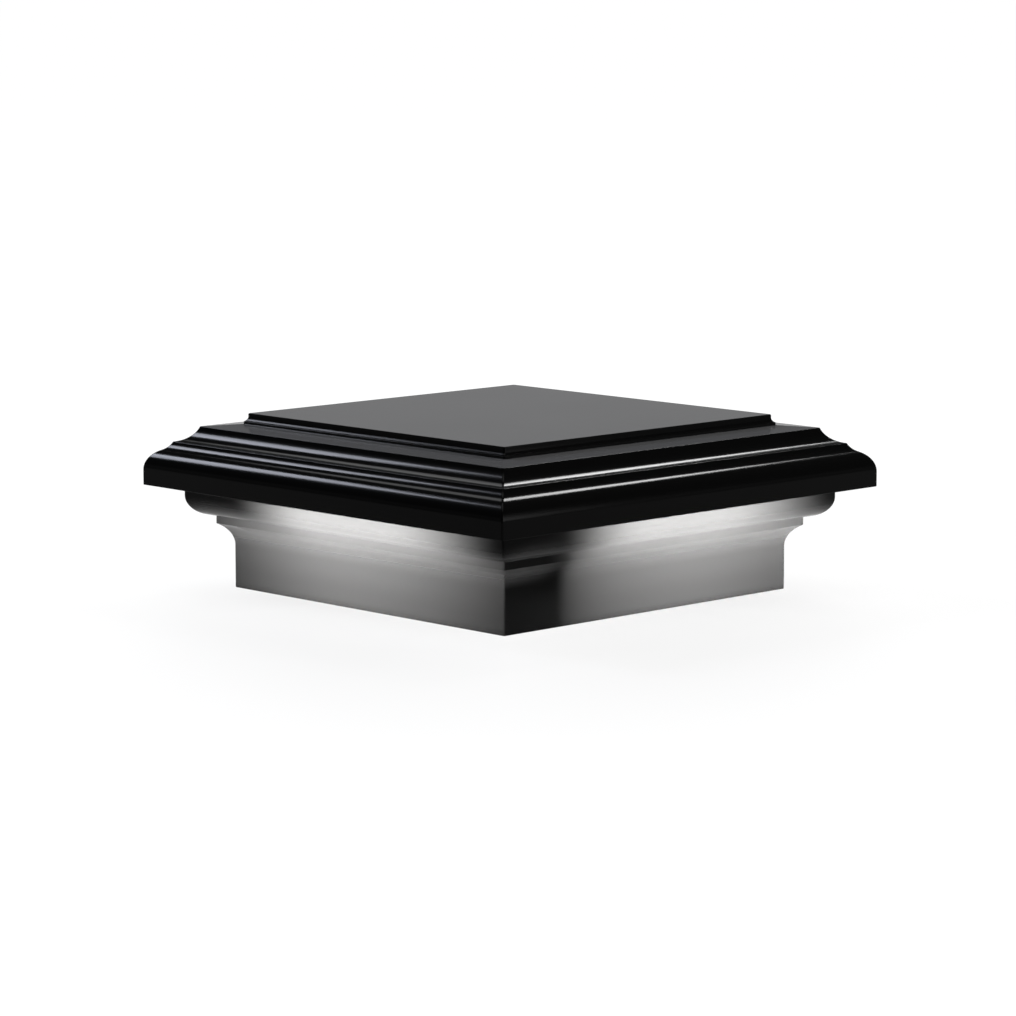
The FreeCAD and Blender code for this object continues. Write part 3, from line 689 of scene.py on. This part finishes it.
class CAP_OT_skirt(Operator):
    """Make the moulded skirt, with its inner plate and the neck that carries the head"""
    bl_idname = "cap_light.skirt"
    bl_label = "Make Skirt"

    def execute(self, context):
        sizes = context.scene.cap_sizes
        step, corner = sizes.arc_step / MM, sizes.mitre_round / MM
        outline = traced(SKIRT_OUTSIDE, step) + SKIRT_INSIDE
        rings = []
        for half, z in eased(outline, sizes.edge_round / MM, closed=True):
            in_window = half < WINDOW_HALF + OVERLAP
            rings.append(square_ring(half, WINDOW_CORNER if in_window else corner, z))
        skirt = to_object(skin(rings, closed=True), "skirt_casting")
        holes = posts(four_corners(POST_HOLE_AT), POST_HOLE_RADIUS, DECK_FOOT - OVERLAP,
                      DECK_TOP + OVERLAP, POST_HOLE_FLATS)
        combine(skirt, to_object(holes, "holes"), "DIFFERENCE")
        smooth(skirt)
        dress(skirt, coat_material("Skirt Coat", with_dust_and_sheen=False), SKIRT_BODY, "black_coat", "skirt")
        return {"FINISHED"}


class CAP_OT_tray(Operator):
    """Finish the tray, its sealant bead and the foam seal on the neck"""
    bl_idname = "cap_light.tray"
    bl_label = "Finish Tray and Seals"

    def execute(self, context):
        color = context.scene.cap_finish.tray_color
        finish_nodes(["light_tray"], grained("Moulded Tray", color, 0.5, 1700.0, 0.00002, 0.25))
        finish_grained("Cured Sealant", "Closed Cell Foam")
        return {"FINISHED"}


class CAP_OT_light_bars(Operator):
    """Finish the four light bars: lenses, boards and chips"""
    bl_idname = "cap_light.light_bars"
    bl_label = "Finish Light Bars"

    def execute(self, context):
        finish_grained("White Board Mask")
        finish_nodes(["light_chips_" + side for side in SIDES], chip_material())
        for quarter, side in enumerate(SIDES):
            finish_nodes(["lens_" + side], lens_material(quarter))
        return {"FINISHED"}


class CAP_OT_fasteners(Operator):
    """Finish the leaf springs and every screw and standoff"""
    bl_idname = "cap_light.fasteners"
    bl_label = "Finish Springs and Screws"

    def execute(self, context):
        finish_metals("Spring Steel", "Stainless Screw", "Turned Brass")
        return {"FINISHED"}


class CAP_OT_gland(Operator):
    """Finish the lead gland in the middle of the tray"""
    bl_idname = "cap_light.gland"
    bl_label = "Finish Gland"

    def execute(self, context):
        finish_grained("Black Nylon", "Gland Rubber")
        return {"FINISHED"}


class CAP_OT_driver(Operator):
    """Finish the driver board and what stands on it"""
    bl_idname = "cap_light.driver"
    bl_label = "Finish Driver Board"

    def execute(self, context):
        finish_nodes(["driver_board"], board_material())
        finish_grained("Ferrite", "Chip Epoxy", "Thick Film", "Terminal Plastic", "Socket Plastic")
        finish_metals("Drawn Can")
        return {"FINISHED"}


class CAP_OT_wires(Operator):
    """Finish the wires between the boards"""
    bl_idname = "cap_light.wires"
    bl_label = "Finish Wires"

    def execute(self, context):
        finish_grained("Red Insulation", "Black Insulation")
        return {"FINISHED"}


# ---------------------------------------------------------------- light and stage, in metres
# The light's run along a side, where to the right is positive, seen from outside: where it starts,
# where it is full, how steep its start is (even at 1, steeper below), where it begins to fade, and
# where it ends. The light bars have the near run. The light from below has it high up, and a far
# run on the upright skirt.
NEAR_RUN = (-0.042, -0.01, 1.0, 0.016, 0.062)
FAR_RUN = (-0.076, -0.009, 1.0, -0.011, 0.078)
FRONT_FAR_RUN = (-0.034, 0.022, 0.37, 0.014, 0.115)
# How strong the light from below is, from the height on its own lamp
BOUNCE_RISE = [
    (-0.0205, 0.3), (-0.0197, 0.315), (-0.0173, 0.335), (-0.0149, 0.475), (-0.0124, 0.47),
    (-0.0098, 0.54), (-0.0094, 0.55), (-0.0091, 0.87), (-0.0081, 0.92), (-0.0067, 0.88),
    (-0.0061, 0.8), (-0.0054, 0.67), (-0.0047, 0.67), (-0.0041, 0.75), (-0.0035, 0.8),
    (-0.0029, 0.84), (-0.0025, 0.88), (-0.0018, 0.68),
]
FAR_RUN_BELOW, NEAR_RUN_ABOVE = -0.0117, -0.0032       # heights on that lamp
WASH_SIZE, WASH_HEIGHT = (0.12, 0.004), 0.0299
BOUNCE_SIZE, BOUNCE_AT = (0.132, 0.0265), (0, -0.08325, -0.0108)
BOUNCE_TILT, BOUNCE_SPREAD = math.radians(135), math.radians(8)

# Studio lamps: power, size, direction seen from the object, and colour
STUDIO_LIGHTS = {
    "left_light": (12.15, 0.29, (-0.2, 0.765, 0.605), (0.84, 0.875, 1.0)),
    "back_light": (1.0, 0.3, (0.31, 0.7, 0.645), (0.98, 0.99, 1.0)),
    "right_light": (7.0, 0.25, (0.685, 0.308, 0.66), (1, 1, 1)),
    "fill_light": (10.0, 0.6, (0.45, -0.85, 0.28), (1, 1, 1)),
}
LIGHT_DISTANCE, LIGHT_AIM = 1.4, (0, 0, 0.04)
OVERHEAD_SIZE, OVERHEAD_AT = 1.0, (0, 0, 1.5)

# Brightness of the surroundings, from the upward part of the direction
SKY = [(0, 0.3), (0.08, 0.36), (0.14, 0.44), (0.175, 0.42), (0.22, 0.14), (0.27, 0.05),
       (0.35, 0.03), (0.6, 0.02)]

# The floor: an oval shade that reaches out from under the front corner, how deep it is from its
# middle outwards, how that depth changes round it, and how the floor brightens with distance
FLOOR_HALF, FLOOR_COLOR = 40.0, (0.06, 0.06, 0.06, 1)
TO_FRONT_CORNER, TO_ONE_SIDE = (-0.695, -0.719, 0), (0.719, -0.695, 0)
OVAL_MIDDLE, OVAL_LENGTH, OVAL_WIDTH = 0.06, 0.17, 0.112
OVAL_DEPTH = [(0, 0.12), (0.35, 0.112), (0.5, 0.094), (0.63, 0.066), (0.74, 0.042), (0.84, 0.018),
              (0.92, 0.006), (1.0, 0)]
DEPTH_SCALE = 2.0
DEPTH_ROUND = [(0, 0.18), (0.31, 0.35), (0.5, 0.41), (0.707, 0.5), (0.866, 0.63), (0.985, 1.0),
               (1.0, 1.0)]
FLOOR_LIFT = [(0.2, 0.94), (0.3, 1.0)]
FOOT_GLOW = [(0.05, 0.045), (0.065, 0.045), (0.08, 0.03), (0.09, 0.018), (0.1, 0.006), (0.115, 0)]
POCKET_SHADE, POCKET_EDGE = 0.02, 0.001                # inside the skirt's foot

CAMERA_AZIMUTH, CAMERA_ELEVATION = math.radians(46.02), math.radians(9.459)
CAMERA_DISTANCE, CAMERA_PITCH, CAMERA_YAW = 1.05086, 0.0210295, 0.000371
CAMERA_LENS, CAMERA_SENSOR, CAMERA_CLIP = 134.45, 36.0, (0.01, 100.0)


def soft_light(name, power, size, place, aim, color=(1, 1, 1)):
    """A rectangular lamp that the camera doesn't see. Its size is one number or two."""
    data = bpy.data.lights.new(name, "AREA")
    data.shape = "RECTANGLE"
    data.size, data.size_y = size if isinstance(size, tuple) else (size, size)
    data.energy, data.color = power, color
    lamp = bpy.data.objects.new(name, data)
    lamp.location = place
    lamp.rotation_euler = (Vector(aim) - Vector(place)).to_track_quat("-Z", "Y").to_euler()
    lamp.visible_camera = False
    bpy.context.scene.collection.objects.link(lamp)
    return lamp


def strength_along(g, along, run):
    """A light's strength at a place along its side."""
    start, full, steepness, fading, end = run
    rise = g.math("POWER", g.soft_step(along, start, full), steepness)
    return g.math("MULTIPLY", rise, g.math("SUBTRACT", 1.0, g.soft_step(along, fading, end)))


def fade(lamp, quarter, far_run=None):
    """Makes a lamp's strength change along its side, and with height where it has a far run."""
    lamp.data.use_nodes = True
    tree = lamp.data.node_tree
    tree.nodes.clear()
    g = Graph(tree)
    place = g.geometry("Position")
    along = g.vector("DOT_PRODUCT", place, side_direction(quarter), gives="Value")
    strength = strength_along(g, along, NEAR_RUN)
    if far_run:
        height = g.split(place)["Z"]
        nearness = g.add("ShaderNodeMapRange", {
            "Value": height, "From Min": FAR_RUN_BELOW, "From Max": NEAR_RUN_ABOVE})
        far = strength_along(g, along, far_run)
        mixed = g.mix(nearness.outputs["Result"], far, strength)
        strength = g.math("MULTIPLY", mixed, g.ramp(height, BOUNCE_RISE))
    glow = g.add("ShaderNodeEmission", {"Strength": strength})
    g.add("ShaderNodeOutputLight", {"Surface": glow.outputs["Emission"]})


def linked(name, state, *pieces):
    """A collection that tells a lamp which pieces it lights, or which it skips."""
    collection = bpy.data.collections.new(name)
    for piece in pieces:
        collection.objects.link(piece)
    for entry in collection.collection_objects:
        entry.light_linking.link_state = state
    return collection


def floor_brightness(g):
    """Full far out, darker in a soft oval at the front corner, and dark inside the skirt."""
    place = g.geometry("Position")
    near = g.vector("DOT_PRODUCT", place, TO_FRONT_CORNER, gives="Value")
    aside = g.vector("DOT_PRODUCT", place, TO_ONE_SIDE, gives="Value")
    reach = g.vector("LENGTH", place, gives="Value")
    oval = g.add("ShaderNodeCombineXYZ", {
        "X": g.math("DIVIDE", g.math("SUBTRACT", near, OVAL_MIDDLE), OVAL_LENGTH),
        "Y": g.math("DIVIDE", aside, OVAL_WIDTH)})
    depth = g.ramp(g.vector("LENGTH", oval.outputs["Vector"], gives="Value"), OVAL_DEPTH)
    turned = g.ramp(g.math("DIVIDE", g.math("ABSOLUTE", aside), reach), DEPTH_ROUND)
    shade_depth = g.math("MULTIPLY", g.math("MULTIPLY", depth, turned), DEPTH_SCALE)
    shaded = g.math("SUBTRACT", g.ramp(reach, FLOOR_LIFT), shade_depth)
    round_about = g.math("ADD", shaded, g.ramp(reach, FOOT_GLOW))
    apart = g.split(g.vector("ABSOLUTE", place))
    wall = SKIRT_INSIDE[-1][0] * MM
    outside = g.ramp(g.math("MAXIMUM", apart["X"], apart["Y"]),
                     [(wall, POCKET_SHADE), (wall + POCKET_EDGE, 1.0)])
    return g.math("MULTIPLY", round_about, outside)


class CAP_OT_stage(Operator):
    """Set the floor, the background, the lights and the camera"""
    bl_idname = "cap_light.stage"
    bl_label = "Set Stage"

    def execute(self, context):
        studio = context.scene.cap_studio
        floor = self.floor()
        self.background()
        self.studio_lamps(studio)
        self.own_lamps(studio, floor)
        self.camera()
        return {"FINISHED"}

    def floor(self):
        bm = bmesh.new()
        bmesh.ops.create_grid(bm, x_segments=1, y_segments=1, size=FLOOR_HALF)
        floor = to_object(bm, "studio_floor")
        material = bpy.data.materials.new("Studio Floor")
        material.use_nodes = True
        material.node_tree.nodes.clear()
        g = Graph(material.node_tree)
        rays = g.add("ShaderNodeLightPath").outputs
        mirrored = g.math("MAXIMUM", rays["Is Glossy Ray"], rays["Is Transmission Ray"])
        seen = g.math("MAXIMUM", rays["Is Camera Ray"], mirrored)
        matt = g.add("ShaderNodeBsdfDiffuse", {"Color": FLOOR_COLOR})
        strength = g.math("MULTIPLY", seen, floor_brightness(g))
        glow = g.add("ShaderNodeEmission", {"Strength": strength})
        both = g.add("ShaderNodeAddShader", {0: matt.outputs[0], 1: glow.outputs[0]})
        clear = g.add("ShaderNodeBsdfTransparent")
        one_sided = g.add("ShaderNodeMixShader", {
            "Fac": g.geometry("Backfacing"), 1: both.outputs[0], 2: clear.outputs[0]})
        g.add("ShaderNodeOutputMaterial", {"Surface": one_sided.outputs[0]})
        floor.data.materials.append(material)
        return floor

    def background(self):
        world = bpy.data.worlds.new("Studio")
        bpy.context.scene.world = world
        world.use_nodes = True
        world.node_tree.nodes.clear()
        g = Graph(world.node_tree)
        height = g.split(g.add("ShaderNodeTexCoord").outputs["Generated"])["Z"]
        sky = g.add("ShaderNodeBackground", {"Color": g.ramp(height, SKY), "Strength": 1.0})
        g.add("ShaderNodeOutputWorld", {"Surface": sky.outputs[0]})

    def studio_lamps(self, studio):
        soft_light("overhead_light", studio.overhead, OVERHEAD_SIZE, OVERHEAD_AT, (0, 0, 0))
        for name, (power, size, way, color) in STUDIO_LIGHTS.items():
            soft_light(name, power, size, Vector(way) * LIGHT_DISTANCE, LIGHT_AIM, color)

    def own_lamps(self, studio, floor):
        """The light bars' lamps, and those for the light that comes back up from below."""
        skirt, seal = bpy.data.objects["skirt_casting"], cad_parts["neck_seal"]
        for quarter, side in enumerate(SIDES):
            heading = QUARTER * quarter
            turn = Matrix.Rotation(heading, 4, "Z")
            place = turn @ Vector((0, -BAR_OUT * MM, WASH_HEIGHT))
            wash = soft_light("wash_" + side, studio.wash_power, WASH_SIZE, place, (0, 0, 0),
                              studio.wash_color)
            wash.rotation_euler = (0, 0, heading)
            skipped = linked(wash.name + "_skips", "EXCLUDE", floor, seal)
            wash.light_linking.receiver_collection = skipped
            fade(wash, quarter)
            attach(wash, HEAD_BODY)

            place = turn @ Vector(BOUNCE_AT)
            bounce = soft_light("bounce_" + side, studio.bounce_power, BOUNCE_SIZE, place,
                                (0, 0, 0), studio.wash_color)
            bounce.rotation_euler = (BOUNCE_TILT, 0, heading)
            bounce.data.spread = BOUNCE_SPREAD
            bounce.visible_glossy = False
            reached = linked(bounce.name + "_reaches", "INCLUDE", skirt)
            bounce.light_linking.receiver_collection = reached
            bounce.light_linking.blocker_collection = reached
            fade(bounce, quarter, FRONT_FAR_RUN if side == "front" else FAR_RUN)

    def camera(self):
        level = math.cos(CAMERA_ELEVATION)
        back = Vector((-level * math.cos(CAMERA_AZIMUTH), -level * math.sin(CAMERA_AZIMUTH),
                       math.sin(CAMERA_ELEVATION)))
        data = bpy.data.cameras.new("photo_camera")
        data.lens, data.sensor_width = CAMERA_LENS, CAMERA_SENSOR
        data.sensor_fit = "HORIZONTAL"
        data.clip_start, data.clip_end = CAMERA_CLIP
        camera = bpy.data.objects.new("photo_camera", data)
        camera.location = back * CAMERA_DISTANCE
        turn = back.to_track_quat("Z", "Y").to_matrix().to_4x4()
        turn = turn @ Matrix.Rotation(CAMERA_PITCH, 4, "X") @ Matrix.Rotation(CAMERA_YAW, 4, "Y")
        camera.rotation_euler = turn.to_euler()
        bpy.context.scene.collection.objects.link(camera)
        bpy.context.scene.camera = camera
        bpy.context.scene.view_settings.view_transform = "Standard"


# ---------------------------------------------------------------- panel and registration
OPERATORS = (
    CAP_OT_lid, CAP_OT_skirt, CAP_OT_tray, CAP_OT_light_bars, CAP_OT_fasteners, CAP_OT_gland,
    CAP_OT_driver, CAP_OT_wires, CAP_OT_stage,
)
GROUPS = {"cap_sizes": CapSizes, "cap_finish": CapFinish, "cap_studio": CapStudio}


class CAP_PT_panel(Panel):
    """Lists the cap light's settings and the buttons that make its pieces"""
    bl_idname = "CAP_PT_panel"
    bl_label = "Cap Light"
    bl_space_type = "VIEW_3D"
    bl_region_type = "UI"
    bl_category = "Cap Light"

    def draw(self, context):
        for key, group in GROUPS.items():
            box = self.layout.box()
            for label in group.__annotations__:
                box.prop(getattr(context.scene, key), label)
        column = self.layout.column(align=True)
        for operator in OPERATORS:
            column.operator(operator.bl_idname)


def register():
    for group in (*GROUPS.values(), *OPERATORS, CAP_PT_panel):
        bpy.utils.register_class(group)
    for key, group in GROUPS.items():
        setattr(bpy.types.Scene, key, PointerProperty(type=group))


def unregister():
    for key in GROUPS:
        delattr(bpy.types.Scene, key)
    for group in (CAP_PT_panel, *reversed(OPERATORS), *reversed(GROUPS.values())):
        bpy.utils.unregister_class(group)


def main():
    register()
    for operator in OPERATORS:
        area, name = operator.bl_idname.split(".")
        getattr(getattr(bpy.ops, area), name)()


if __name__ == "__main__":
    main()
